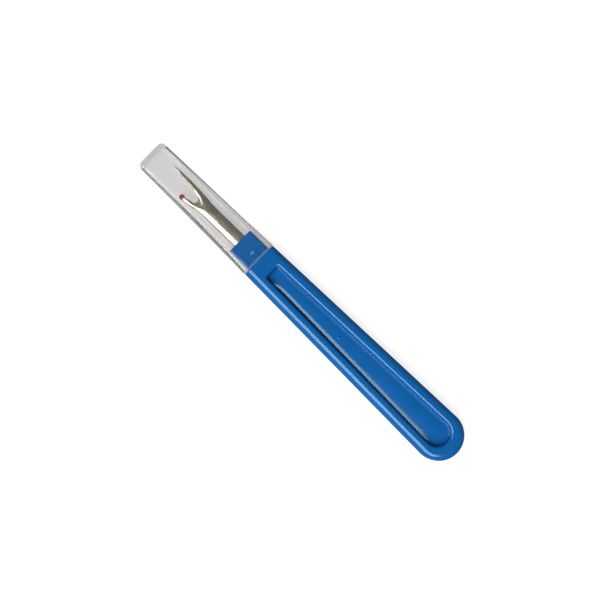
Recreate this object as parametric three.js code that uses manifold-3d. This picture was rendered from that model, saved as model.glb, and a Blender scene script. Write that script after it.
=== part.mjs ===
// Seam ripper with a clear push-on cap: a moulded handle, a forked steel blade and a bead on
// the blade's short prong.
//
// Millimetres, +Z up. Inside the tool group the plane x = 0 is the shoulder, where the cap's
// mouth meets the handle. +X runs to the blade's point, +Y to the beaded prong, and z = 0 is
// the middle of the thickness. The group then stands the tool on its broad face.

import * as THREE from 'three';
import { mergeVertices } from 'three/addons/utils/BufferGeometryUtils.js';
import Module from 'manifold-3d';

// Handle: a tapered bar with a round butt, sunk on both broad faces inside a raised rim
const THICKNESS = 7.4;
const HANDLE_LENGTH = 87.3;
const SHOULDER_WIDTH = 12.5;
const SIDE_SLOPE = 0.024;
const HANDLE_EDGE_RADIUS = 2.2;
const RIM_WIDTH = 3.88;
const RECESS_FRONT = -5.5;
const FRONT_WALL_STRETCH = 3.5;
const RECESS_DEPTH = 2.65;
const RECESS_CORNER_RADIUS = 0.6;
const RECESS_LIP_RADIUS = 1.0;
const RECESS_FLOOR_RADIUS = 0.2;
const RECESS_END_SHIFT = 1.2;

// Spigot: the block that carries the cap, with a grip pad on each broad face
const SPIGOT = { length: 8.5, width: 9.5, height: 4.7, radius: 1.0, chamfer: 0.3 };
const PAD = { start: 0.7, end: 3.7, width: 2.3, rise: 0.3 };

// Cap: a tapered box with a closed end
const CAP_START = 0.06;
const CAP_LENGTH = 47.64;
const CAP_TIP = { width: 10.4, height: 6.6, cornerRadius: 1.6, faceRadius: 1.1 };
const CAP_EDGE_RADIUS = 1.0;
const CAP_FLARE = { width: 0.32, height: 0.1, length: 13 };
const CAVITY_MOUTH = { width: 9.9, height: 5.4 };
const CAVITY_END = { width: 9.0, height: 5.2 };
const CAVITY_RADIUS = 0.45;
const CAP_END_WALL = 1.9;

// Blade: an oval shank set in the spigot, beaten out flat into two prongs
const SHANK = { width: 5.0, height: 2.4, roundness: 2.2, end: 25.6, endHeight: 0.9 };
const SHANK_TAPER_START = 17;
const TANG_END = -5.0;
const TANG_CLEARANCE = 0.05;
const FORK_HEIGHT = 1.3;
const FORK_BEVEL = 0.52;
const LONG_PRONG_END = { x: 40.2, taper: 4.6 };
const SHORT_PRONG_END = { x: 31.4, taper: 2.2 };
const CUTTING_EDGE_Y = 0.8;
const POINT_HEIGHT = 0.5;
const POINT_TAPER_START = 33;

// Bead on the short prong, on a peg that ends inside it
const BEAD = { x: 31.06, y: 2.7, radius: 0.9, gap: 0.03 };
const PEG = {
  radius: 0.3,
  root: 0.5,
  reach: 0.35,
  clearance: 0.04,
  angle: THREE.MathUtils.degToRad(11),
};

const ARC_STEPS = 4;
const BUTT_STEPS = 28;

const wasm = await Module();
wasm.setup();

function toSolid(geometry) {
  geometry.deleteAttribute('normal');
  geometry.deleteAttribute('uv');
  const merged = mergeVertices(geometry, 1e-5);
  return new wasm.Manifold(new wasm.Mesh({
    numProp: 3,
    vertProperties: Float32Array.from(merged.attributes.position.array),
    triVerts: Uint32Array.from(merged.index.array),
  }));
}

function toGeometry(solid) {
  const mesh = solid.getMesh();
  const geometry = new THREE.BufferGeometry();
  geometry.setAttribute('position', new THREE.BufferAttribute(mesh.vertProperties, 3));
  geometry.setIndex(new THREE.BufferAttribute(mesh.triVerts, 1));
  geometry.computeVertexNormals();
  return geometry;
}

function arc(x, y, radius, from, to, steps = ARC_STEPS) {
  const points = [];
  for (let i = 0; i <= steps; i += 1) {
    const angle = from + ((to - from) * i) / steps;
    points.push(new THREE.Vector2(x + radius * Math.cos(angle), y + radius * Math.sin(angle)));
  }
  return points;
}

// Rectangle with round corners, in the plane across the tool
function roundedSection(width, height, radius) {
  const y = width / 2 - radius;
  const z = height / 2 - radius;
  const quarter = Math.PI / 2;
  return [
    ...arc(y, z, radius, 0, quarter),
    ...arc(-y, z, radius, quarter, 2 * quarter),
    ...arc(-y, -z, radius, 2 * quarter, 3 * quarter),
    ...arc(y, -z, radius, 3 * quarter, 4 * quarter),
  ];
}

// Superellipse section: an oval with fuller shoulders as the roundness grows
function ovalSection(width, height) {
  const steps = 24;
  const power = 2 / SHANK.roundness;
  const points = [];
  for (let i = 0; i < steps; i += 1) {
    const angle = (2 * Math.PI * i) / steps;
    const c = Math.cos(angle);
    const s = Math.sin(angle);
    points.push(new THREE.Vector2(
      (Math.sign(c) * Math.abs(c) ** power * width) / 2,
      (Math.sign(s) * Math.abs(s) ** power * height) / 2,
    ));
  }
  return points;
}

// Closed skin over sections that follow one another along X, each with the same point count
function loft(stations) {
  const count = stations[0].section.length;
  const positions = [];
  const index = [];
  for (const { x, section } of stations) {
    for (const point of section) {
      positions.push(x, point.x, point.y);
    }
  }
  for (let ring = 0; ring + 1 < stations.length; ring += 1) {
    for (let i = 0; i < count; i += 1) {
      const a = ring * count + i;
      const b = ring * count + ((i + 1) % count);
      index.push(a, a + count, b, b, a + count, b + count);
    }
  }
  const last = (stations.length - 1) * count;
  for (const [a, b, c] of THREE.ShapeUtils.triangulateShape(stations[0].section, [])) {
    index.push(a, b, c);
  }
  for (const [a, b, c] of THREE.ShapeUtils.triangulateShape(stations.at(-1).section, [])) {
    index.push(last + a, last + c, last + b);
  }
  for (let i = 0; i < index.length; i += 3) {
    [index[i + 1], index[i + 2]] = [index[i + 2], index[i + 1]];
  }
  const geometry = new THREE.BufferGeometry();
  geometry.setAttribute('position', new THREE.Float32BufferAttribute(positions, 3));
  geometry.setIndex(index);
  return geometry;
}

// The same skin stood up, so that its sections follow one another along Z
function upright(stations) {
  return loft(stations).applyMatrix4(new THREE.Matrix4().makeBasis(
    new THREE.Vector3(0, 0, 1),
    new THREE.Vector3(1, 0, 0),
    new THREE.Vector3(0, 1, 0),
  ));
}

function boxSolid(low, high) {
  const size = new THREE.Vector3().subVectors(high, low);
  const middle = new THREE.Vector3().addVectors(low, high).multiplyScalar(0.5);
  const geometry = new THREE.BoxGeometry(size.x, size.y, size.z);
  geometry.translate(middle.x, middle.y, middle.z);
  return toSolid(geometry);
}

// ---- Handle ----

const slant = Math.hypot(1, SIDE_SLOPE);
const buttRadius = (SHOULDER_WIDTH / 2 + SIDE_SLOPE * HANDLE_LENGTH) / (slant + SIDE_SLOPE);
const buttCentre = buttRadius - HANDLE_LENGTH;

// Half width of the handle at x, less an inset square to its side
function sideY(x, inset) {
  return SHOULDER_WIDTH / 2 - SIDE_SLOPE * x - inset * slant;
}

// Outline parallel to the handle's sides, inset from them, with a straight front edge. Its back
// is an arc round the centre, which runs on smoothly from both sides
function taperedOutline(inset, front, cornerRadius, centre) {
  const corner = {
    x: front - cornerRadius,
    y: sideY(front, inset) - cornerRadius,
  };
  const radius = sideY(centre, inset) / slant;
  const sideAngle = Math.atan2(1, SIDE_SLOPE);
  return [
    ...arc(corner.x, -corner.y, cornerRadius, -Math.PI / 2, 0),
    ...arc(corner.x, corner.y, cornerRadius, 0, Math.PI / 2),
    ...arc(centre, 0, radius, sideAngle, 2 * Math.PI - sideAngle, BUTT_STEPS),
  ];
}

// Bar with a wide rounding along its edges, cut off square at the shoulder
function handleBar() {
  const overrun = 4;
  const corner = 2;
  const middle = THICKNESS / 2 - HANDLE_EDGE_RADIUS;
  const upper = arc(0, middle, HANDLE_EDGE_RADIUS, 0, Math.PI / 2);
  const lower = arc(0, -middle, HANDLE_EDGE_RADIUS, -Math.PI / 2, 0);
  const bar = toSolid(upright([...lower, ...upper].map((point) => {
    const inset = HANDLE_EDGE_RADIUS - point.x;
    return { x: point.y, section: taperedOutline(inset, overrun, corner, buttCentre) };
  })));
  const half = SHOULDER_WIDTH;
  const front = boxSolid(
    new THREE.Vector3(0, -half, -half),
    new THREE.Vector3(2 * overrun, half, half),
  );
  return bar.subtract(front);
}

// Room inside the rim: rounded at the foot of its wall and at the lip
function recess() {
  const top = THICKNESS / 2;
  const quarter = Math.PI / 2;
  const foot = arc(RECESS_FLOOR_RADIUS, top - RECESS_DEPTH + RECESS_FLOOR_RADIUS,
    RECESS_FLOOR_RADIUS, -quarter, -2 * quarter);
  const lip = arc(-RECESS_LIP_RADIUS, top - RECESS_LIP_RADIUS, RECESS_LIP_RADIUS, 0, quarter);
  const overrun = 1;
  const above = new THREE.Vector2(-RECESS_LIP_RADIUS, top + overrun);
  return toSolid(upright([...foot, ...lip, above].map((point) => {
    const stretch = point.x > 0 ? FRONT_WALL_STRETCH : 1;
    return {
      x: point.y,
      section: taperedOutline(
        RIM_WIDTH + point.x,
        RECESS_FRONT - stretch * point.x,
        RECESS_CORNER_RADIUS - point.x,
        buttCentre + RECESS_END_SHIFT,
      ),
    };
  })));
}

function spigot() {
  const { length, width, height, radius, chamfer } = SPIGOT;
  const full = roundedSection(width, height, radius);
  const nose = roundedSection(width - 2 * chamfer, height - 2 * chamfer, radius);
  const root = -1;
  return toSolid(loft([
    { x: root, section: full },
    { x: length - chamfer, section: full },
    { x: length, section: nose },
  ]));
}

// Pad with a sloping lead-in at its front, so the cap rides up onto it
function gripPad(side) {
  const surface = SPIGOT.height / 2;
  const sunk = surface - 0.5;
  const top = surface + PAD.rise;
  const leadIn = 0.6;
  const profile = new THREE.Shape([
    new THREE.Vector2(PAD.start, sunk),
    new THREE.Vector2(PAD.end, sunk),
    new THREE.Vector2(PAD.end, surface),
    new THREE.Vector2(PAD.end - leadIn, top),
    new THREE.Vector2(PAD.start, top),
  ]);
  const geometry = new THREE.ExtrudeGeometry(profile, { depth: PAD.width, bevelEnabled: false });
  geometry.translate(0, 0, -PAD.width / 2);
  geometry.rotateX(side * (Math.PI / 2));
  return toSolid(geometry);
}

function tangPocket() {
  const gap = TANG_CLEARANCE;
  const section = ovalSection(SHANK.width + 2 * gap, SHANK.height + 2 * gap);
  return toSolid(loft([
    { x: TANG_END - gap, section },
    { x: SPIGOT.length + 1, section },
  ]));
}

function makeHandle() {
  const upper = recess();
  const body = handleBar().subtract(upper).subtract(upper.mirror([0, 0, 1]));
  const nose = spigot().add(gripPad(1)).add(gripPad(-1));
  return toGeometry(body.add(nose).subtract(tangPocket()));
}

// ---- Cap ----

// How far a rounded end has drawn in, at a distance back from the end face
function endInset(radius, back) {
  const reach = Math.max(0, radius - back);
  return radius - Math.sqrt(radius * radius - reach * reach);
}

function capOuterSection(x) {
  const along = x / CAP_LENGTH;
  const flare = Math.max(0, 1 - x / CAP_FLARE.length) ** 2;
  const back = CAP_LENGTH - x;
  const width = THREE.MathUtils.lerp(SHOULDER_WIDTH - CAP_FLARE.width, CAP_TIP.width, along)
    + flare * CAP_FLARE.width - 2 * endInset(CAP_TIP.cornerRadius, back);
  const height = THREE.MathUtils.lerp(THICKNESS - CAP_FLARE.height, CAP_TIP.height, along)
    + flare * CAP_FLARE.height - 2 * endInset(CAP_TIP.faceRadius, back);
  return { x, section: roundedSection(width, height, CAP_EDGE_RADIUS) };
}

function capOuter() {
  const stations = [];
  for (let i = 0; i < 4; i += 1) {
    stations.push((CAP_FLARE.length * i) / 4);
  }
  stations.push(CAP_FLARE.length);
  for (let i = 0; i <= 2 * ARC_STEPS; i += 1) {
    const angle = (Math.PI / 2) * (i / (2 * ARC_STEPS));
    stations.push(CAP_LENGTH - CAP_TIP.cornerRadius * (1 - Math.sin(angle)));
  }
  return toSolid(loft(stations.map(capOuterSection)));
}

function capCavity() {
  const overrun = 1;
  const depth = CAP_LENGTH - CAP_END_WALL;
  const mouth = roundedSection(CAVITY_MOUTH.width, CAVITY_MOUTH.height, CAVITY_RADIUS);
  const end = roundedSection(CAVITY_END.width, CAVITY_END.height, CAVITY_RADIUS);
  const soften = 0.3;
  const cornered = roundedSection(
    CAVITY_END.width - 2 * soften,
    CAVITY_END.height - 2 * soften,
    CAVITY_RADIUS,
  );
  return toSolid(loft([
    { x: -overrun, section: mouth },
    { x: 0, section: mouth },
    { x: depth - soften, section: end },
    { x: depth, section: cornered },
  ]));
}

function makeCap() {
  return toGeometry(capOuter().subtract(capCavity()));
}

// ---- Blade ----

function shank() {
  const full = ovalSection(SHANK.width, SHANK.height);
  const flattened = ovalSection(SHANK.width - 0.3, SHANK.endHeight);
  const nose = ovalSection(SHANK.width - 0.8, SHANK.height - 0.5);
  const lead = 0.5;
  return toSolid(loft([
    { x: TANG_END, section: nose },
    { x: TANG_END + lead, section: full },
    { x: SHANK_TAPER_START, section: full },
    { x: SHANK.end, section: flattened },
  ]));
}

function throughPoints(pairs, steps) {
  const points = pairs.map(([x, y]) => new THREE.Vector2(x, y));
  return new THREE.SplineCurve(points).getPoints(steps);
}

// Plan of the fork: out along the long prong, back to the cutting edge, out and round the
// short prong
function forkOutline() {
  const longOuter = throughPoints(
    [[17, -2.42], [22.4, -2.45], [25, -2.68], [27.2, -2.91], [30.3, -3.08], [33.5, -3.15],
      [37.5, -2.99], [40.06, -2.67]],
    16,
  );
  const longInner = throughPoints(
    [[40.06, -2.6], [38.8, -2.42], [37.5, -2.05], [35.65, -1.73], [33.45, -1.6],
      [30.6, -1.45], [28.4, -0.63], [26.9, 0.2], [26.7, 0.75]],
    18,
  );
  const shortInner = throughPoints(
    [[26.7, 0.75], [27.15, 1.21], [28.1, 1.57], [29.7, 1.92], [30.9, 2.35]],
    8,
  );
  const shortOuter = throughPoints(
    [[30.9, 3.1], [29.7, 3.42], [28.1, 3.24], [26.8, 3.0], [24, 2.48], [22.4, 2.38], [17, 2.42]],
    12,
  );
  return [...longOuter, ...longInner, ...shortInner.slice(1), ...shortOuter];
}

// The bevel narrows toward each prong's end, so its two sides never meet
function bevelAt(point) {
  const end = point.y > CUTTING_EDGE_Y ? SHORT_PRONG_END : LONG_PRONG_END;
  return FORK_BEVEL * Math.min(1, (end.x - point.x) / end.taper);
}

function insetOutline(outline) {
  return outline.map((point, i) => {
    const next = outline[(i + 1) % outline.length];
    const previous = outline.at(i - 1);
    const along = new THREE.Vector2().subVectors(next, previous).normalize();
    const inward = new THREE.Vector2(-along.y, along.x);
    return inward.multiplyScalar(bevelAt(point)).add(point);
  });
}

// Side view of the fork: level, then thinning to the point
function forkThickness() {
  const back = 16;
  const front = 41;
  const half = FORK_HEIGHT / 2;
  const tip = POINT_HEIGHT / 2;
  const profile = new THREE.Shape([
    new THREE.Vector2(back, -half),
    new THREE.Vector2(POINT_TAPER_START, -half),
    new THREE.Vector2(front, -tip),
    new THREE.Vector2(front, tip),
    new THREE.Vector2(POINT_TAPER_START, half),
    new THREE.Vector2(back, half),
  ]);
  const depth = 3 * SHANK.width;
  const geometry = new THREE.ExtrudeGeometry(profile, { depth, bevelEnabled: false });
  geometry.translate(0, 0, -depth / 2);
  geometry.rotateX(Math.PI / 2);
  return toSolid(geometry);
}

// Plate beveled from both faces to an edge at mid-thickness, all the way round
function fork() {
  const outline = forkOutline();
  const inner = insetOutline(outline);
  const plate = toSolid(upright([
    { x: -FORK_HEIGHT / 2, section: inner },
    { x: 0, section: outline },
    { x: FORK_HEIGHT / 2, section: inner },
  ]));
  return plate.intersect(forkThickness());
}

function peg(radius, reach) {
  const length = BEAD.radius + PEG.root + reach;
  const geometry = new THREE.CylinderGeometry(radius, radius, length, 12);
  geometry.rotateZ(-Math.PI / 2);
  geometry.translate(reach - length / 2, 0, 0);
  geometry.rotateZ(PEG.angle);
  geometry.translate(BEAD.x, BEAD.y, 0);
  return toSolid(geometry);
}

function beadSolid(radius) {
  const geometry = new THREE.SphereGeometry(radius, 24, 16);
  geometry.translate(BEAD.x, BEAD.y, 0);
  return toSolid(geometry);
}

function makeBlade() {
  const seat = beadSolid(BEAD.radius + BEAD.gap);
  const body = shank().add(fork()).subtract(seat);
  return toGeometry(body.add(peg(PEG.radius, PEG.reach)));
}

function makeBead() {
  const socket = peg(PEG.radius + PEG.clearance, PEG.reach + PEG.clearance);
  return toGeometry(beadSolid(BEAD.radius).subtract(socket));
}

// ---- Assembly ----

function part(name, geometry, material) {
  const mesh = new THREE.Mesh(geometry, new THREE.MeshStandardMaterial(material));
  mesh.name = name;
  return mesh;
}

const handle = part('handle', makeHandle(), {
  color: 0x145fa8,
  roughness: 0.28,
  metalness: 0,
});
const blade = part('fork_blade', makeBlade(), {
  color: 0xc8c0a8,
  roughness: 0.25,
  metalness: 1,
});
const bead = part('ball_tip', makeBead(), {
  color: 0x8c0f18,
  roughness: 0.3,
  metalness: 0,
});
const cap = part('cap', makeCap(), {
  color: 0xe8e8e8,
  roughness: 0.1,
  metalness: 0,
  transparent: true,
  opacity: 0.3,
});
cap.position.x = CAP_START;

const tool = new THREE.Group();
tool.add(handle, blade, bead, cap);
tool.position.x = (HANDLE_LENGTH - CAP_START - CAP_LENGTH) / 2;
tool.position.z = THICKNESS / 2;

const seamRipper = new THREE.Group();
seamRipper.add(tool);

export default seamRipper;
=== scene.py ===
"""Seam ripper with a clear cap: finished surfaces, materials, lights and camera.

Each piece is built in millimetres in the tool's own frame: x = 0 is the shoulder, where the
cap's mouth meets the handle, +X runs to the blade's point, +Y to the beaded prong, and z = 0 is
the middle of the thickness. place() puts a point of that frame into the row frame, in metres.
"""

import math

import bmesh
import bpy
import numpy as np
from mathutils import Matrix, Vector


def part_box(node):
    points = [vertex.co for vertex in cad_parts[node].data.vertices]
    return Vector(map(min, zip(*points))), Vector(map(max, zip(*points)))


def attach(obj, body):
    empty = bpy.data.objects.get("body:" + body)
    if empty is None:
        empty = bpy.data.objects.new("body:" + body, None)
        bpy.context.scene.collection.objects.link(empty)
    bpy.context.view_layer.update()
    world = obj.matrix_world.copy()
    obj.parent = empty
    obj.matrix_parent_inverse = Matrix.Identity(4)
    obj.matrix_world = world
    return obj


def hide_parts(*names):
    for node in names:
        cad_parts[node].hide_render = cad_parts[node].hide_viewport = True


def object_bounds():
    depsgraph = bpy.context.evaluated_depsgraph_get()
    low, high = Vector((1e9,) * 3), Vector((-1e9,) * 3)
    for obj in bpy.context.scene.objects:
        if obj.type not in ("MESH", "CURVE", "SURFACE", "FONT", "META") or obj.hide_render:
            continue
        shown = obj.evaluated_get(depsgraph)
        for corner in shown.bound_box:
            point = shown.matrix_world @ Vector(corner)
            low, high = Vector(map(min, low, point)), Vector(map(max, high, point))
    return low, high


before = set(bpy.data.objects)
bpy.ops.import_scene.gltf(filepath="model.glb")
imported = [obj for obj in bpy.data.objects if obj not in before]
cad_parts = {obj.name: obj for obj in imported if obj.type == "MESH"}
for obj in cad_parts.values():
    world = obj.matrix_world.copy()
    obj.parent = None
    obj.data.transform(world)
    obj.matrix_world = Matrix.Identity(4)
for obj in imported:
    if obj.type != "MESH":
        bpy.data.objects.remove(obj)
CAD_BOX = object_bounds()

# ---- Sizes ----

# Lengths are in millimetres and arcs in degrees. Slopes, shares and powers are plain numbers.

MM = 0.001
CAP_GAP = 0.06

HANDLE_LOW, HANDLE_HIGH = (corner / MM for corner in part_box("handle"))
CAP_LOW, CAP_HIGH = (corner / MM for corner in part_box("cap"))
THICKNESS = HANDLE_HIGH.z - HANDLE_LOW.z
SHOULDER = Vector((CAP_LOW.x - CAP_GAP, 0, HANDLE_LOW.z + THICKNESS / 2))
HANDLE_LENGTH = SHOULDER.x - HANDLE_LOW.x
SPIGOT_LENGTH = HANDLE_HIGH.x - SHOULDER.x
CAP_LENGTH = CAP_HIGH.x - CAP_LOW.x

SHOULDER_WIDTH = 12.5
SIDE_SLOPE = 0.024
SLANT = math.hypot(1, SIDE_SLOPE)
BUTT_RADIUS = (SHOULDER_WIDTH / 2 + SIDE_SLOPE * HANDLE_LENGTH) / (SLANT + SIDE_SLOPE)
BUTT_CENTRE = BUTT_RADIUS - HANDLE_LENGTH

SIDE_DRAFT = 0.05
PARTING_RIDGE = 0.03
RIM_EDGE_RADIUS = 2.2
RIM_WIDTH = 3.88
LIP_RADIUS = 1.0
WALL_DRAFT = 0.08
FLOOR_RADIUS = 0.12
RECESS_DEPTH = 2.65
RECESS_FRONT = -5.5
FRONT_WALL_STRETCH = 3.5
RECESS_BACK_SHIFT = 1.2
RECESS_CENTRE = BUTT_CENTRE + RECESS_BACK_SHIFT
RECESS_CORNER = 0.6
CROWN = 0.37
CROWN_FRONT_RISE = 5
CROWN_BACK_RISE = 7

# Inset and height of the side's first points, from the parting line's ridge up
PARTING_PROFILE = [(0, 0), (PARTING_RIDGE * 0.7, 0.07), (PARTING_RIDGE, 0.5)]

SHOULDER_ROUND = 0.3
SPIGOT_WIDTH = 9.5
SPIGOT_HEIGHT = 4.7
SPIGOT_RADIUS = 1.0
SPIGOT_FILLET = 0.25
SPIGOT_NOSE = 0.35

PAD_START = 0.7
PAD_END = 3.7
PAD_WIDTH = 2.3
PAD_RISE = 0.3
PAD_LEAD_IN = 0.5
PAD_ROUND = 0.12

CAP_TIP_WIDTH = 10.4
CAP_TIP_HEIGHT = 6.6
CAP_CORNER_RADIUS = 1.6
CAP_FACE_RADIUS = 1.1
CAP_EDGE_RADIUS = 1.0
CAP_FLARE = Vector((0.32, 0.1))
CAP_FLARE_LENGTH = 13
CAVITY_MOUTH = Vector((9.9, 5.4))
CAVITY_END = Vector((9.0, 5.2))
CAVITY_RADIUS = 0.45
CAVITY_CORNER = 0.4
CAP_END_WALL = 1.9
CAP_MOUTH_ROUND = 0.12

TANG_END = -5.0
TANG_GAP = 0.05
POCKET_LEAD_IN = 0.12
SHANK_WIDTH = 5.0
SHANK_HEIGHT = 2.4
SHANK_ROUNDNESS = 2.2
FORK_START = 17.0
FORK_BOTTOM = (26.7, 0.72)
FORK_HALF_HEIGHT = 0.66
SHORT_END = 31.3
POINT = (40.06, -2.66)

FACET_WIDTH = 0.78
FACET_STRETCH = 3.6
FACET_SLOPE = 0.1
FACET_CREASE = 0.03
EDGE_SLOPE = 2.5
EDGE_CREASE = 0.02
CREST_HEIGHT = 0.07
CREST_WIDTH = 0.16
CREST_FADE = (0.1, 0.6)

PRONG_FACET = 0.35
PRONG_REACH = 0.7
PRONG_ROUNDNESS = 2
PRONG_THINNING = 0.62
THINNING_START = 34.5
THINNING_POWER = 1.6

# Where along the blade it changes from one section to the next
FLATTENS = (17, 27)
SIDES_TIGHTEN = (20, 29)
SIDES_ROUND_OFF = (20, 27)
FACET_NARROWS = (26, 31)
CREST_ENDS = (33, 37)

BEAD_CENTRE = Vector((31.06, 2.70, 0))
BEAD_RADIUS = 0.9
BEAD_TURN = math.radians(11)
BEAD_ARC = (2, 134)

# Steps along and out from the end of the bead's arc, over the collar
BEAD_COLLAR = ((-0.1, -0.03), (-0.22, -0.04), (-0.27, -0.08))

# ---- Mesh helpers ----

WELD_DISTANCE = 1e-4
FLAT_FACE_WEIGHT = 80


def place(point):
    """A point of the tool's frame, in millimetres, as a point of the row frame, in metres."""
    return (Vector(point) + SHOULDER) * MM


def turns(start, end, steps):
    """Angles in radians from start to end degrees, both included."""
    return np.radians(np.linspace(start, end, steps + 1)).tolist()


def arc(x, y, radius, start, end, steps):
    """Points round a centre, from start to end degrees."""
    return [(x + radius * math.cos(a), y + radius * math.sin(a)) for a in turns(start, end, steps)]


def between(first, last, steps):
    """Points strictly between two points of a plane."""
    return [tuple(np.add(first, np.subtract(last, first) * i / steps)) for i in range(1, steps)]


def smooth_step(low, high, value):
    share = np.clip((value - low) / (high - low), 0, 1)
    return share * share * (3 - 2 * share)


def join_rings(bm, first, second):
    for i in range(len(first)):
        j = (i + 1) % len(first)
        bm.faces.new((first[i], first[j], second[j], second[i]))


def skin(bm, rings):
    """Faces over closed rings that all have the same number of points."""
    made = [[bm.verts.new(point) for point in ring] for ring in rings]
    for first, second in zip(made, made[1:]):
        join_rings(bm, first, second)
    return made


def closed_skin(bm, rings):
    made = skin(bm, rings)
    bm.faces.new(made[0])
    bm.faces.new(made[-1])


def to_object(bm, name):
    """The bmesh as a smooth-shaded object in the row frame, with its normals facing out."""
    bmesh.ops.remove_doubles(bm, verts=bm.verts, dist=WELD_DISTANCE)
    bmesh.ops.recalc_face_normals(bm, faces=bm.faces)
    for vert in bm.verts:
        vert.co = place(vert.co)
    mesh = bpy.data.meshes.new(name)
    bm.to_mesh(mesh)
    bm.free()
    mesh.shade_smooth()
    piece = bpy.data.objects.new(name, mesh)
    bpy.context.scene.collection.objects.link(piece)
    return piece


def keep_flats_flat(piece):
    piece.modifiers.new("flat faces stay flat", "WEIGHTED_NORMAL").weight = FLAT_FACE_WEIGHT


def install(piece, material, body, node):
    piece.data.materials.append(material)
    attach(piece, body)
    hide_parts(node)


def rounded_section(width, height, radius, steps=6, side_steps=3):
    """Rectangle with round corners, as (y, z) points round the tool's length."""
    y = width / 2 - radius
    z = height / 2 - radius
    corners = [
        arc(y, z, radius, 0, 90, steps),
        arc(-y, z, radius, 90, 180, steps),
        arc(-y, -z, radius, 180, 270, steps),
        arc(y, -z, radius, 270, 360, steps),
    ]
    section = []
    for corner, following in zip(corners, corners[1:] + corners[:1]):
        section += corner + between(corner[-1], following[0], side_steps)
    return section


# ---- Handle ----

SIDE_STEPS = 44
CORNER_STEPS = 6
BUTT_STEPS = 64
FRONT_STEPS = 8
RIM_STEPS = 12
LIP_STEPS = 10
FOOT_STEPS = 7
SHOULDER_STEPS = 5
FILLET_STEPS = 4
NOSE_STEPS = 5
SPIGOT_STATIONS = 6
PAD_SEGMENTS = 3
FLOOR_SHARES = (0.06, 0.14, 0.24, 0.36, 0.5, 0.66, 0.83, 1.0)


def side_y(x, inset):
    """Half width of the handle at x, less an inset square to its side."""
    return SHOULDER_WIDTH / 2 - SIDE_SLOPE * x - inset * SLANT


def plan_ring(inset, front, corner, centre=BUTT_CENTRE):
    """Outline parallel to the handle's sides, inset from them, with a straight front edge.

    Its back is an arc round the centre, which runs on smoothly from both sides.
    """
    side_angle = math.degrees(math.atan2(1, SIDE_SLOPE))
    x = front - corner
    y = side_y(front, inset) - corner
    left = arc(x, y, corner, 0, 90, CORNER_STEPS)
    radius = side_y(centre, inset) / SLANT
    butt = arc(centre, 0, radius, side_angle, 360 - side_angle, BUTT_STEPS)
    right = arc(x, -y, corner, -90, 0, CORNER_STEPS)
    return (
        left
        + between(left[-1], butt[0], SIDE_STEPS)
        + butt
        + between(butt[-1], right[0], SIDE_STEPS)
        + right
        + between(right[-1], left[0], FRONT_STEPS)
    )


def rim_rings():
    """Rings over the side and the rim, from the parting line up to the crest."""
    top = THICKNESS / 2
    section = list(PARTING_PROFILE)
    for a in turns(0, 90, RIM_STEPS):
        inset = SIDE_DRAFT + RIM_EDGE_RADIUS * (1 - math.cos(a))
        section.append((inset, top - RIM_EDGE_RADIUS * (1 - math.sin(a))))
    overrun = 3.0
    corner = 0.4
    return [
        [(x, y, height) for x, y in plan_ring(inset, overrun, corner)]
        for inset, height in section
    ]


def recess_rings():
    """Rings over the rim's inner lip, down the recess's wall and round the foot of the wall."""
    top = THICKNESS / 2
    floor = top - RECESS_DEPTH
    draft_angle = math.degrees(math.atan(WALL_DRAFT))
    section = []
    for a in turns(0, 90 - draft_angle, LIP_STEPS):
        depth = LIP_RADIUS * (1 - math.cos(a))
        section.append((-LIP_RADIUS * (1 - math.sin(a)), top - depth))
    foot = WALL_DRAFT * (RECESS_DEPTH - LIP_RADIUS)
    for a in turns(draft_angle, 90, FOOT_STEPS):
        inset = foot + FLOOR_RADIUS * (1 - math.cos(a))
        section.append((inset, floor + FLOOR_RADIUS * (1 - math.sin(a))))
    smallest = 0.12
    rings = []
    for inset, height in section:
        corner = max(smallest, RECESS_CORNER - inset)
        front = RECESS_FRONT - inset * (FRONT_WALL_STRETCH if inset > 0 else 1)
        plan = plan_ring(RIM_WIDTH + inset, front, corner, RECESS_CENTRE)
        rings.append([(x, y, height) for x, y in plan])
    return rings


def floor_rings(border):
    """Rings from the floor's border in to its middle line, which stands a little proud."""
    front = max(x for x, _, _ in border)
    back = min(x for x, _, _ in border)
    floor = border[0][2]
    middle_front = front - 2.5
    rings = []
    for share in FLOOR_SHARES:
        ring = []
        for x, y, _ in border:
            middle = min(max(x, RECESS_CENTRE), middle_front)
            px = x + (middle - x) * share
            rise = smooth_step(front, front - CROWN_FRONT_RISE, px)
            rise *= smooth_step(back, back + CROWN_BACK_RISE, px)
            ring.append((px, y * (1 - share), floor + CROWN * rise * (1 - (1 - share) ** 2)))
        rings.append(ring)
    return rings


def open_loop(bm):
    """The vertices round the mesh's one open edge, in order."""
    edges = {edge for edge in bm.edges if edge.is_boundary}
    edge = edges.pop()
    loop = list(edge.verts)
    while edges:
        edge = next(e for e in loop[-1].link_edges if e in edges)
        edges.remove(edge)
        loop.append(edge.other_vert(loop[-1]))
    return loop[:-1]


def inset_section(section, amount):
    """A closed outline of (y, z) points round the origin, moved in by an amount."""
    points = np.array(section)
    after = np.roll(points, -1, axis=0) - points
    before = points - np.roll(points, 1, axis=0)
    tangent = after / np.linalg.norm(after, axis=1)[:, None]
    tangent += before / np.linalg.norm(before, axis=1)[:, None]
    tangent /= np.linalg.norm(tangent, axis=1)[:, None]
    normal = np.stack([-tangent[:, 1], tangent[:, 0]], axis=1)
    outward = np.sign((normal * points).sum(1).mean())
    return points - normal * outward * amount


def loop_edges(bm, loop):
    return [bm.edges.get(pair) for pair in zip(loop, loop[1:] + loop[:1])]


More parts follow.
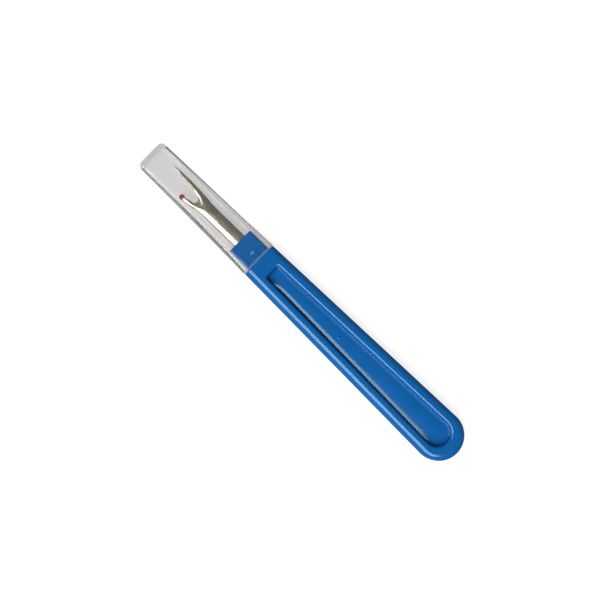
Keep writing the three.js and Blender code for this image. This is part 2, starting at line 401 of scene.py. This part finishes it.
def cut_at_shoulder(bm):
    """Trims the bar just behind the shoulder and rounds its end; gives the last ring."""
    bmesh.ops.bisect_plane(
        bm,
        geom=bm.verts[:] + bm.edges[:] + bm.faces[:],
        plane_co=(-SHOULDER_ROUND, 0, 0),
        plane_no=(1, 0, 0),
        clear_outer=True,
    )
    previous = open_loop(bm)
    section = [(vert.co.y, vert.co.z) for vert in previous]
    for a in turns(0, 90, SHOULDER_STEPS)[1:]:
        x = -SHOULDER_ROUND * (1 - math.sin(a))
        inset = SHOULDER_ROUND * (1 - math.cos(a))
        ring = [bm.verts.new((x, y, z)) for y, z in inset_section(section, inset)]
        join_rings(bm, previous, ring)
        previous = ring
    return previous


def oval_like(section, half_width, half_height):
    """Points of the shank's oval in the same directions as a section's points."""
    power = SHANK_ROUNDNESS
    points = []
    for y, z in section:
        size = (abs(y / half_width) ** power + abs(z / half_height) ** power) ** (1 / power)
        points.append((y / size, z / size))
    return points


def pocket_ring(x, gap):
    base = rounded_section(SPIGOT_WIDTH, SPIGOT_HEIGHT, SPIGOT_RADIUS)
    oval = oval_like(base, SHANK_WIDTH / 2 + gap, SHANK_HEIGHT / 2 + gap)
    return [(x, y, z) for y, z in oval]


def spigot_rings():
    """Rings from the shoulder along the spigot, over its nose and down the blade's pocket."""
    stations = []
    for a in turns(0, 90, FILLET_STEPS):
        stations.append((SPIGOT_FILLET * (1 - math.cos(a)), -SPIGOT_FILLET * (1 - math.sin(a))))
    for x in np.linspace(SPIGOT_FILLET, SPIGOT_LENGTH - SPIGOT_NOSE, SPIGOT_STATIONS)[1:-1]:
        stations.append((x, 0))
    for a in turns(0, 90, NOSE_STEPS):
        x = SPIGOT_LENGTH - SPIGOT_NOSE * (1 - math.sin(a))
        stations.append((x, SPIGOT_NOSE * (1 - math.cos(a))))
    rings = []
    for x, inset in stations:
        radius = SPIGOT_RADIUS - min(0, inset)
        section = rounded_section(SPIGOT_WIDTH - 2 * inset, SPIGOT_HEIGHT - 2 * inset, radius)
        rings.append([(x, y, z) for y, z in section])
    lead = POCKET_LEAD_IN
    for back, grow in ((0, lead), (lead / 4, lead / 4), (lead, 0)):
        rings.append(pocket_ring(SPIGOT_LENGTH - back, TANG_GAP + grow))
    rings.append(pocket_ring(TANG_END - TANG_GAP, TANG_GAP))
    return rings


def add_grip_pad(bm, side):
    """Low block with rounded edges, which slopes down toward the spigot's nose.

    The side is 1 for the upper face and -1 for the lower one.
    """
    surface = SPIGOT_HEIGHT / 2
    sunk = surface - PAD_RISE
    cube = bmesh.ops.create_cube(bm, size=1)["verts"]
    for vert in cube:
        front = vert.co.x > 0
        raised = side * vert.co.z > 0
        vert.co.x = PAD_END if front else PAD_START
        if front and raised:
            vert.co.x -= PAD_LEAD_IN
        vert.co.y *= PAD_WIDTH
        vert.co.z = side * (surface + PAD_RISE if raised else sunk)
    edges = {edge for vert in cube for edge in vert.link_edges}
    bmesh.ops.bevel(
        bm,
        geom=list(edges),
        offset=PAD_ROUND,
        segments=PAD_SEGMENTS,
        profile=0.5,
        affect="EDGES",
    )


def add_gate_mark(bm):
    """The small raised pip that the mould's pin leaves on the upper recess floor."""
    x, y, radius, rise = -35.2, -0.1, 0.55, 0.14
    steps = 24
    base = THICKNESS / 2 - RECESS_DEPTH + CROWN
    profile = [(1.0, -1.0), (1.0, 0.3), (0.93, 0.7), (0.78, 0.95), (0.5, 1.0), (0.2, 0.8)]
    rings = []
    for width, lift in profile:
        circle = arc(x, y, radius * width, 0, 360 - 360 / steps, steps - 1)
        rings.append([(px, py, base + lift * rise) for px, py in circle])
    closed_skin(bm, rings)


def build_handle():
    upper = rim_rings() + recess_rings()
    upper += floor_rings(upper[-1])
    lower = [[(x, y, -z) for x, y, z in ring] for ring in upper[1:]]
    bm = bmesh.new()
    skin(bm, upper[::-1] + lower)
    bmesh.ops.remove_doubles(bm, verts=bm.verts, dist=WELD_DISTANCE)
    shoulder = cut_at_shoulder(bm)
    spigot = skin(bm, spigot_rings())
    bm.faces.new(spigot[-1])
    bmesh.ops.bridge_loops(bm, edges=loop_edges(bm, shoulder) + loop_edges(bm, spigot[0]))
    add_grip_pad(bm, 1)
    add_grip_pad(bm, -1)
    add_gate_mark(bm)
    piece = to_object(bm, "handle_moulding")
    keep_flats_flat(piece)
    return piece


# ---- Cap ----

SECTION_CORNER_STEPS = 8
SECTION_SIDE_STEPS = 4
END_STEPS = 12
MOUTH_STEPS = 3
CAVITY_CORNER_STEPS = 5
OUTER_STATIONS = 24
CAVITY_STATIONS = 20


def end_inset(radius, back):
    """How far a rounded end has drawn in, at a distance back from the end face."""
    reach = max(0, radius - back)
    return radius - math.sqrt(radius * radius - reach * reach)


def cap_ring(x, size, radius, inset=0):
    width, height = (full - 2 * inset for full in size)
    section = rounded_section(width, height, radius, SECTION_CORNER_STEPS, SECTION_SIDE_STEPS)
    return [(CAP_GAP + x, y, z) for y, z in section]


def cap_outer_size(x):
    mouth = Vector((SHOULDER_WIDTH, THICKNESS)) - CAP_FLARE
    tip = Vector((CAP_TIP_WIDTH, CAP_TIP_HEIGHT))
    flare = max(0, 1 - x / CAP_FLARE_LENGTH) ** 2
    back = CAP_LENGTH - x
    ends = Vector((end_inset(CAP_CORNER_RADIUS, back), end_inset(CAP_FACE_RADIUS, back)))
    return mouth.lerp(tip, x / CAP_LENGTH) + flare * CAP_FLARE - 2 * ends


def cap_outside():
    """Rings from the end face back to the mouth's outer edge."""
    end_turns = turns(90, 0, END_STEPS)
    stations = [CAP_LENGTH - CAP_CORNER_RADIUS * (1 - math.sin(a)) for a in end_turns]
    stations += np.linspace(stations[-1], CAP_MOUTH_ROUND, OUTER_STATIONS)[1:].tolist()
    rings = [cap_ring(x, cap_outer_size(x), CAP_EDGE_RADIUS) for x in stations]
    for a in turns(0, 90, MOUTH_STEPS)[1:]:
        inset = CAP_MOUTH_ROUND * (1 - math.cos(a))
        x = CAP_MOUTH_ROUND * (1 - math.sin(a))
        rings.append(cap_ring(x, cap_outer_size(0), CAP_EDGE_RADIUS - inset, inset))
    return rings


def cap_inside():
    """Rings from the mouth's inner edge down the cavity to the middle of its end."""
    depth = CAP_LENGTH - CAP_END_WALL
    straight = np.linspace(CAP_MOUTH_ROUND, depth - CAVITY_CORNER, CAVITY_STATIONS)
    rings = []
    for a in turns(90, 0, MOUTH_STEPS):
        inset = -CAP_MOUTH_ROUND * (1 - math.cos(a))
        x = CAP_MOUTH_ROUND * (1 - math.sin(a))
        rings.append(cap_ring(x, CAVITY_MOUTH, CAVITY_RADIUS - inset, inset))
    for x in straight[1:].tolist():
        rings.append(cap_ring(x, CAVITY_MOUTH.lerp(CAVITY_END, x / depth), CAVITY_RADIUS))
    for a in turns(0, 90, CAVITY_CORNER_STEPS)[1:]:
        inset = CAVITY_CORNER * (1 - math.cos(a))
        x = depth - CAVITY_CORNER * (1 - math.sin(a))
        rings.append(cap_ring(x, CAVITY_END, CAVITY_RADIUS, inset))
    return rings


def build_cap():
    bm = bmesh.new()
    closed_skin(bm, cap_outside() + cap_inside())
    piece = to_object(bm, "cap_shell")
    keep_flats_flat(piece)
    return piece


# ---- Blade ----

# The blade's outline from above, as (x, y) points
LONG_OUTER = [
    (TANG_END, -2.5), (FORK_START, -2.5), (20, -2.47), (22.4, -2.5), (25, -2.7),
    (27.2, -2.91), (30.3, -3.08), (33.5, -3.15), (36, -3.1), (38.2, -2.93), POINT,
]
LONG_INNER = [
    FORK_BOTTOM, (26.95, 0.28), (28.4, -0.63), (30.6, -1.4), (33.45, -1.6), (35.65, -1.73),
    (37.5, -2.02), (38.9, -2.4), POINT,
]
SHORT_OUTER = [
    (TANG_END, 2.5), (FORK_START, 2.5), (20, 2.45), (22.4, 2.4), (24, 2.5), (26.8, 3.0),
    (28.1, 3.22), (29.7, 3.42), (SHORT_END, 3.2),
]
SHORT_INNER = [FORK_BOTTOM, (27.0, 1.16), (28.1, 1.57), (29.7, 1.92), (SHORT_END, 2.35)]

CURVE_STEPS = 24
STRIP_COLUMNS = 24
SHANK_ROWS = 10
ROWS_BEHIND = 36
ROWS_AHEAD = 64
CLOSEST_ROW = 0.02


def curve_through(points):
    """A smooth plan curve through points: cubic spans that share their slopes."""
    p = np.array(points, float)
    gap = np.sqrt(np.linalg.norm(np.diff(p, axis=0), axis=1))[:, None]
    chord = np.diff(p, axis=0) / gap
    inner = (chord[:-1] * gap[1:] + chord[1:] * gap[:-1]) / (gap[:-1] + gap[1:])
    slope = np.vstack([chord[:1], inner, chord[-1:]])
    t = np.linspace(0, 1, CURVE_STEPS, endpoint=False)[None, :, None]
    spans = (
        (2 * t**3 - 3 * t**2 + 1) * p[:-1, None]
        + (t**3 - 2 * t**2 + t) * (gap * slope[:-1])[:, None]
        + (3 * t**2 - 2 * t**3) * p[1:, None]
        + (t**3 - t**2) * (gap * slope[1:])[:, None]
    )
    return np.vstack([spans.reshape(-1, 2), p[-1:]])


def distance_to(points, line):
    """The distance from each point to a polyline."""
    start = line[:-1]
    along = line[1:] - start
    offset = points[:, None, :] - start[None]
    share = np.clip((offset * along).sum(2) / (along * along).sum(1), 0, 1)
    return np.linalg.norm(offset - share[..., None] * along, axis=2).min(1)


def smooth_low(first, second, softness):
    """The lower of two heights, with a soft crease."""
    never_zero = 1e-9
    width = softness * (first + second) + never_zero
    mix = np.clip(0.5 + 0.5 * (first - second) / width, 0, 1)
    return first + (second - first) * mix - width * mix * (1 - mix)


def blade_surface(points, outer_edges, cutting_edge):
    """Half thickness over the plan, and where the surface is ground.

    The shank is an oval that flattens toward the fork. The prongs are round on the outside, and
    the long one thins toward its point. Along the crotch runs a gently sloped ground facet, with
    a raised crest at its border and a steep cutting edge at its foot.
    """
    x = points[:, 0]
    half = SHANK_HEIGHT / 2 + (FORK_HALF_HEIGHT - SHANK_HEIGHT / 2) * smooth_step(*FLATTENS, x)
    to_point = np.clip((x - THINNING_START) / (POINT[0] - THINNING_START), 0, 1)
    half *= 1 - PRONG_THINNING * to_point**THINNING_POWER
    reach = SHANK_WIDTH / 2 + (PRONG_REACH - SHANK_WIDTH / 2) * smooth_step(*SIDES_TIGHTEN, x)
    power = SHANK_ROUNDNESS + (PRONG_ROUNDNESS - SHANK_ROUNDNESS) * smooth_step(*SIDES_ROUND_OFF, x)
    outside = np.minimum(*(distance_to(points, edge) for edge in outer_edges))
    rounded = half * (1 - (1 - np.clip(outside / reach, 0, 1)) ** power) ** (1 / power)
    squeeze = np.array((1 / FACET_STRETCH, 1))
    across = distance_to(points * squeeze, cutting_edge * squeeze)
    facet = FACET_WIDTH + (PRONG_FACET - FACET_WIDTH) * smooth_step(*FACET_NARROWS, x)
    ground = half - FACET_SLOPE * np.clip(facet - across, 0, None)
    inside = distance_to(points, cutting_edge)
    ground = smooth_low(ground, EDGE_SLOPE * inside, EDGE_CREASE)
    height = smooth_low(rounded, ground, FACET_CREASE)
    crest = CREST_HEIGHT * (1 - smooth_step(*CREST_ENDS, x))
    crest *= smooth_step(*CREST_FADE, np.minimum(outside, 2 * inside))
    height += crest * np.exp(-(((across - facet) / CREST_WIDTH) ** 2))
    return height, (across < facet).astype(float)


def strip_points(outer, inner, stations):
    """Plan points in rows across a prong, from its outer edge to its inner edge.

    Behind the fork's bottom the inner edge is a line that runs back to the middle.
    """
    rows = []
    for x in stations:
        low = np.interp(x, outer[:, 0], outer[:, 1])
        middle = FORK_BOTTOM[1] * smooth_step(FORK_START, FORK_BOTTOM[0], x)
        high = np.interp(x, inner[:, 0], inner[:, 1]) if x > FORK_BOTTOM[0] else middle
        share = (1 - np.cos(np.linspace(0, math.pi, STRIP_COLUMNS + 1))) / 2
        rows.append([(x, low + (high - low) * s) for s in share])
    return np.array(rows)


def fork_stations(end):
    """X positions of the rows, closest together round the bottom of the fork."""
    bottom = FORK_BOTTOM[0]
    shank = np.linspace(TANG_END, FORK_START, SHANK_ROWS)[:-1]
    behind = bottom - np.geomspace(bottom - FORK_START, CLOSEST_ROW, ROWS_BEHIND)
    ahead = bottom + np.geomspace(CLOSEST_ROW, end - bottom, ROWS_AHEAD)
    return np.concatenate([shank, behind, [bottom], ahead])


def add_strip(bm, rows, heights, grind, layer):
    """The two broad faces over rows of plan points, and the faces that close the row ends."""
    sides = []
    for side in (1, -1):
        grid = []
        for row, row_heights, row_grind in zip(rows, heights, grind):
            verts = [bm.verts.new((x, y, side * h)) for (x, y), h in zip(row, row_heights)]
            for vert, value in zip(verts, row_grind):
                vert[layer] = value
            grid.append(verts)
        for first, second in zip(grid, grid[1:]):
            for j in range(len(first) - 1):
                bm.faces.new((first[j], first[j + 1], second[j + 1], second[j]))
        sides.append(grid)
    for row in (0, -1):
        top, bottom = sides[0][row], sides[1][row]
        for j in range(len(top) - 1):
            bm.faces.new((top[j], top[j + 1], bottom[j + 1], bottom[j]))


def build_blade():
    long_outer, long_inner = curve_through(LONG_OUTER), curve_through(LONG_INNER)
    short_outer, short_inner = curve_through(SHORT_OUTER), curve_through(SHORT_INNER)
    cutting_edge = np.vstack([long_inner[::-1], short_inner[1:]])
    bm = bmesh.new()
    layer = bm.verts.layers.float.new("ground")
    for outer, inner, end in (
        (long_outer, long_inner, POINT[0]),
        (short_outer, short_inner, SHORT_END),
    ):
        rows = strip_points(outer, inner, fork_stations(end))
        surface = blade_surface(rows.reshape(-1, 2), (long_outer, short_outer), cutting_edge)
        heights, grind = (values.reshape(rows.shape[:2]) for values in surface)
        add_strip(bm, rows, heights, grind, layer)
    return to_object(bm, "blade_forging")


def build_bead():
    """Bead with a short collar where it grips the prong."""
    profile_steps = 26
    ring_steps = 40
    profile = arc(0, 0, BEAD_RADIUS, *BEAD_ARC, profile_steps)
    last_along, last_out = profile[-1]
    profile += [(last_along + along, last_out + out) for along, out in BEAD_COLLAR]
    turn = Matrix.Rotation(BEAD_TURN, 3, "Z")
    round_turns = turns(0, 360, ring_steps)[:-1]
    rings = []
    for along, out in profile:
        ring = [Vector((along, out * math.cos(a), out * math.sin(a))) for a in round_turns]
        rings.append([BEAD_CENTRE + turn @ point for point in ring])
    bm = bmesh.new()
    closed_skin(bm, rings)
    return to_object(bm, "bead")


# ---- Materials ----

NOISE_MIDDLE = (0.3, 0.7)

# The pale patch over the front of the grip pads is a painted highlight for their reflection. Its
# centre and reach are in millimetres, and its core is the share of the reach at full strength.
PAINTED_SHEEN_CENTRE = (3.1, 0, 0)
PAINTED_SHEEN_REACH = (0.55, 1.05, 10)
PAINTED_SHEEN_CORE = 0.5
PAINTED_SHEEN_STRENGTH = 0.85
PAINTED_SHEEN_COLOUR = (0.12, 0.22, 0.40, 1)

# The clear cap. The band, in millimetres from the mouth, is where its matte end turns clear.
CAP_ABSORPTION = (0.1, 0.1, 0.1, 1)
CAP_DENSITY = 90
CAP_SHADOW = (0.75, 0.75, 0.75, 1)
MOUTH_BAND = (0.45, 0.75)
MOUTH_ROUGHNESS = 0.6

PAPER_GLOW = 0.84


def new_material(name, **settings):
    """A material with one Principled shader; a setting's name is a socket's, joined by _."""
    material = bpy.data.materials.new(name)
    material.use_nodes = True
    shader = material.node_tree.nodes["Principled BSDF"]
    for socket, value in settings.items():
        shader.inputs[socket.replace("_", " ")].default_value = value
    return material, shader


def add_node(material, kind, sockets, **settings):
    """A node with its settings, and with its sockets set or linked."""
    node = material.node_tree.nodes.new(kind)
    for name, value in settings.items():
        setattr(node, name, value)
    for name, value in sockets.items():
        if isinstance(value, bpy.types.NodeSocket):
            link(material, value, node.inputs[name])
        else:
            node.inputs[name].default_value = value
    return node


def link(material, output, socket):
    material.node_tree.links.new(output, socket)


def position(material):
    """Where a point is on its piece: at rest, its place in the row frame, in metres."""
    return add_node(material, "ShaderNodeTexCoord", {}).outputs["Object"]


def noise(material, grain, detail=2.0):
    """Noise whose grain is so many millimetres long, wide and high."""
    scale = [1 / (size * MM) for size in grain]
    sockets = {"Vector": position(material), "Scale": scale}
    mapped = add_node(material, "ShaderNodeMapping", sockets)
    texture = add_node(
        material,
        "ShaderNodeTexNoise",
        {"Vector": mapped.outputs["Vector"], "Scale": 1.0, "Detail": detail},
    )
    return texture.outputs["Fac"]


def map_range(material, value, from_low, from_high, to_low, to_high):
    sockets = {
        "Value": value,
        "From Min": from_low,
        "From Max": from_high,
        "To Min": to_low,
        "To Max": to_high,
    }
    return add_node(material, "ShaderNodeMapRange", sockets).outputs["Result"]


def spread(material, value, low, high):
    """The middle of a noise's range spread over low to high."""
    start, end = NOISE_MIDDLE
    return map_range(material, value, start, end, low, high)


def tint(material, value, low, high):
    """The middle of a noise's range as a colour between low and high."""
    ramp = add_node(material, "ShaderNodeValToRGB", {"Fac": value})
    for element, at, colour in zip(ramp.color_ramp.elements, NOISE_MIDDLE, (low, high)):
        element.position = at
        element.color = (*colour, 1)
    return ramp.outputs["Color"]


def bump(material, height, depth, under=None):
    """A bump whose full depth is in millimetres, on top of another bump if there is one."""
    sockets = {"Height": height, "Distance": depth * MM, "Strength": 1.0}
    if under is not None:
        sockets["Normal"] = under
    return add_node(material, "ShaderNodeBump", sockets).outputs["Normal"]


def painted_pad_sheen(material):
    """Strength of the pale painted highlight over the front of the grip pads, standing in for a
    reflection.
    """
    scale = [1 / (reach * MM) for reach in PAINTED_SHEEN_REACH]
    shift = [-at * size for at, size in zip(place(PAINTED_SHEEN_CENTRE), scale)]
    sockets = {"Vector": position(material), "Scale": scale, "Location": shift}
    mapped = add_node(material, "ShaderNodeMapping", sockets)
    sockets = {"Vector": mapped.outputs["Vector"]}
    away = add_node(material, "ShaderNodeVectorMath", sockets, operation="LENGTH")
    return map_range(material, away.outputs["Value"], PAINTED_SHEEN_CORE, 1.0, PAINTED_SHEEN_STRENGTH, 0.0)


def handle_plastic():
    """Glossy blue plastic with a faint ripple, fine scratches and a painted highlight on the grip
    pads.
    """
    material, shader = new_material("blue_plastic", IOR=1.53, Specular_Tint=(0.7, 0.97, 1, 1))
    mottle = noise(material, (14, 6, 6))
    colour = tint(material, mottle, (0.0012, 0.075, 0.255), (0.0016, 0.083, 0.28))
    # A paler blue over the pads' front is a painted highlight standing in for their reflection.
    sockets = {"Fac": painted_pad_sheen(material), "Color1": colour, "Color2": PAINTED_SHEEN_COLOUR}
    with_pad_sheen = add_node(material, "ShaderNodeMixRGB", sockets)
    link(material, with_pad_sheen.outputs["Color"], shader.inputs["Base Color"])
    roughness = spread(material, noise(material, (6, 3, 3)), 0.12, 0.16)
    link(material, roughness, shader.inputs["Roughness"])
    ripple = bump(material, noise(material, (5, 2, 2)), 0.0015)
    scratches = bump(material, noise(material, (2.4, 0.4, 0.4), 1), 0.0002, ripple)
    link(material, scratches, shader.inputs["Normal"])
    return material


def blade_metal():
    """Bright nickel plate over forged steel, with finer lines where it is ground."""
    material, shader = new_material("nickel_plate", Metallic=1.0)
    colour = tint(material, noise(material, (4, 1.5, 1.5)), (0.70, 0.63, 0.48), (0.80, 0.74, 0.60))
    link(material, colour, shader.inputs["Base Color"])
    ground = add_node(material, "ShaderNodeAttribute", {}, attribute_name="ground").outputs["Fac"]
    polish = spread(material, noise(material, (1.5, 0.3, 0.3), 3), 0.2, 0.28)
    grind = spread(material, noise(material, (0.08, 1.2, 1.2), 2), 0.18, 0.28)
    sockets = {"Factor": ground, "A": polish, "B": grind}
    rough = add_node(material, "ShaderNodeMix", sockets, data_type="FLOAT")
    link(material, rough.outputs["Result"], shader.inputs["Roughness"])
    forged = bump(material, noise(material, (2.2, 0.8, 0.8)), 0.02)
    lines = bump(material, noise(material, (1.8, 0.05, 0.05), 1), 0.001, forged)
    link(material, lines, shader.inputs["Normal"])
    return material


def bead_plastic():
    """Dark red glossy plastic."""
    material, shader = new_material("red_plastic", IOR=1.5)
    mottle = noise(material, (0.9, 0.5, 0.5))
    colour = tint(material, mottle, (0.20, 0.008, 0.014), (0.28, 0.014, 0.022))
    link(material, colour, shader.inputs["Base Color"])
    roughness = spread(material, noise(material, (0.4, 0.4, 0.4)), 0.08, 0.16)
    link(material, roughness, shader.inputs["Roughness"])
    link(material, bump(material, noise(material, (0.5, 0.5, 0.5)), 0.004), shader.inputs["Normal"])
    return material


def cap_plastic():
    """Clear rigid plastic that absorbs a little light and is matte at the cap's mouth.

    The lamp's shadow rays pass straight through it, dimmed, so that the blade inside is lit.
    """
    material, shader = new_material(
        "clear_plastic", Base_Color=(0.86, 0.855, 0.86, 1), Transmission_Weight=1.0, IOR=1.5
    )
    sockets = {"Color": CAP_ABSORPTION, "Density": CAP_DENSITY}
    tinge = add_node(material, "ShaderNodeVolumeAbsorption", sockets)
    see_through = add_node(material, "ShaderNodeBsdfTransparent", {"Color": CAP_SHADOW})
    is_shadow = add_node(material, "ShaderNodeLightPath", {}).outputs["Is Shadow Ray"]
    surface = add_node(material, "ShaderNodeMixShader", {"Fac": is_shadow})
    link(material, shader.outputs["BSDF"], surface.inputs[1])
    link(material, see_through.outputs["BSDF"], surface.inputs[2])
    output = material.node_tree.nodes["Material Output"]
    link(material, surface.outputs["Shader"], output.inputs["Surface"])
    link(material, tinge.outputs["Volume"], output.inputs["Volume"])
    link(material, bump(material, noise(material, (6, 3, 3)), 0.01), shader.inputs["Normal"])
    split = add_node(material, "ShaderNodeSeparateXYZ", {"Vector": position(material)})
    start, end = (place((CAP_GAP + x, 0, 0)).x for x in MOUTH_BAND)
    matte = map_range(material, split.outputs["X"], start, end, MOUTH_ROUGHNESS, 0.0)
    polish = spread(material, noise(material, (5, 2, 2), 3), 0.0, 0.03)
    roughness = add_node(material, "ShaderNodeMath", {0: polish, 1: matte}, operation="MAXIMUM")
    link(material, roughness.outputs["Value"], shader.inputs["Roughness"])
    return material


def floor_paper():
    """Plain white paper, lit from below as on a light table."""
    material, shader = new_material(
        "white_paper",
        Roughness=0.7,
        Specular_IOR_Level=0.1,
        Emission_Color=(1, 1, 1, 1),
        Emission_Strength=PAPER_GLOW,
    )
    colour = tint(material, noise(material, (60, 60, 60)), (0.24, 0.24, 0.24), (0.26, 0.26, 0.26))
    link(material, colour, shader.inputs["Base Color"])
    return material


# ---- Studio ----

# Distances and sizes are in metres. The camera's lens and target are in millimetres.
CAMERA_DISTANCE = 0.4465
CAMERA_LENS = 85
CAMERA_SIDE_TILT = math.radians(4.5)
CAMERA_LENGTH_TILT = math.radians(1.63)
CAMERA_ROLL = math.radians(44.275)
CAMERA_TARGET = Vector((-18.04, -0.06, 0))

SOFTBOX_DISTANCE = 1.2
SOFTBOX_TILT = math.radians(33.5)
SOFTBOX_SIZE = (1.6, 0.95)
SOFTBOX_POWER = 31
SURROUND = 0.15

FLOOR_SIZE = 6.0
FLOOR_CELLS = 8


def add_floor():
    bpy.ops.mesh.primitive_grid_add(
        x_subdivisions=FLOOR_CELLS, y_subdivisions=FLOOR_CELLS, size=FLOOR_SIZE
    )
    paper = bpy.context.active_object
    paper.name = "paper"
    paper.location.z = CAD_BOX[0].z
    paper.data.materials.append(floor_paper())
    paper.visible_glossy = False


def add_softbox():
    """One wide softbox, high on the beaded prong's side."""
    data = bpy.data.lights.new("softbox", "AREA")
    data.shape = "RECTANGLE"
    data.size, data.size_y = SOFTBOX_SIZE
    data.energy = SOFTBOX_POWER
    lamp = bpy.data.objects.new("softbox", data)
    back = Vector((0, math.sin(SOFTBOX_TILT), math.cos(SOFTBOX_TILT)))
    lamp.location = back * SOFTBOX_DISTANCE
    lamp.rotation_euler = (-SOFTBOX_TILT, 0, 0)
    bpy.context.scene.collection.objects.link(lamp)


def set_surround():
    world = bpy.data.worlds.new("studio")
    world.use_nodes = True
    background = world.node_tree.nodes["Background"]
    background.inputs["Color"].default_value = (1, 1, 1, 1)
    background.inputs["Strength"].default_value = SURROUND
    bpy.context.scene.world = world
    bpy.context.scene.view_settings.view_transform = "Standard"


def add_camera():
    """Camera almost straight above, leaning toward the beaded prong's side."""
    side, length = math.tan(CAMERA_SIDE_TILT), math.tan(CAMERA_LENGTH_TILT)
    back = Vector((length, side, 1)).normalized()
    along = (Vector((1, 0, 0)) - back * back.x).normalized()
    across = back.cross(along)
    turn_cos, turn_sin = math.cos(CAMERA_ROLL), math.sin(CAMERA_ROLL)
    right = -turn_cos * along - turn_sin * across
    up = turn_sin * along - turn_cos * across
    data = bpy.data.cameras.new("camera")
    data.lens = CAMERA_LENS
    camera = bpy.data.objects.new("camera", data)
    stand = Matrix.Translation(place(CAMERA_TARGET) + back * CAMERA_DISTANCE)
    camera.matrix_world = stand @ Matrix((right, up, back)).transposed().to_4x4()
    bpy.context.scene.collection.objects.link(camera)
    bpy.context.scene.camera = camera


add_camera()
add_softbox()
set_surround()
add_floor()

install(build_handle(), handle_plastic(), "ripper", "handle")
install(build_blade(), blade_metal(), "ripper", "fork_blade")
install(build_bead(), bead_plastic(), "ripper", "ball_tip")
install(build_cap(), cap_plastic(), "cap", "cap")
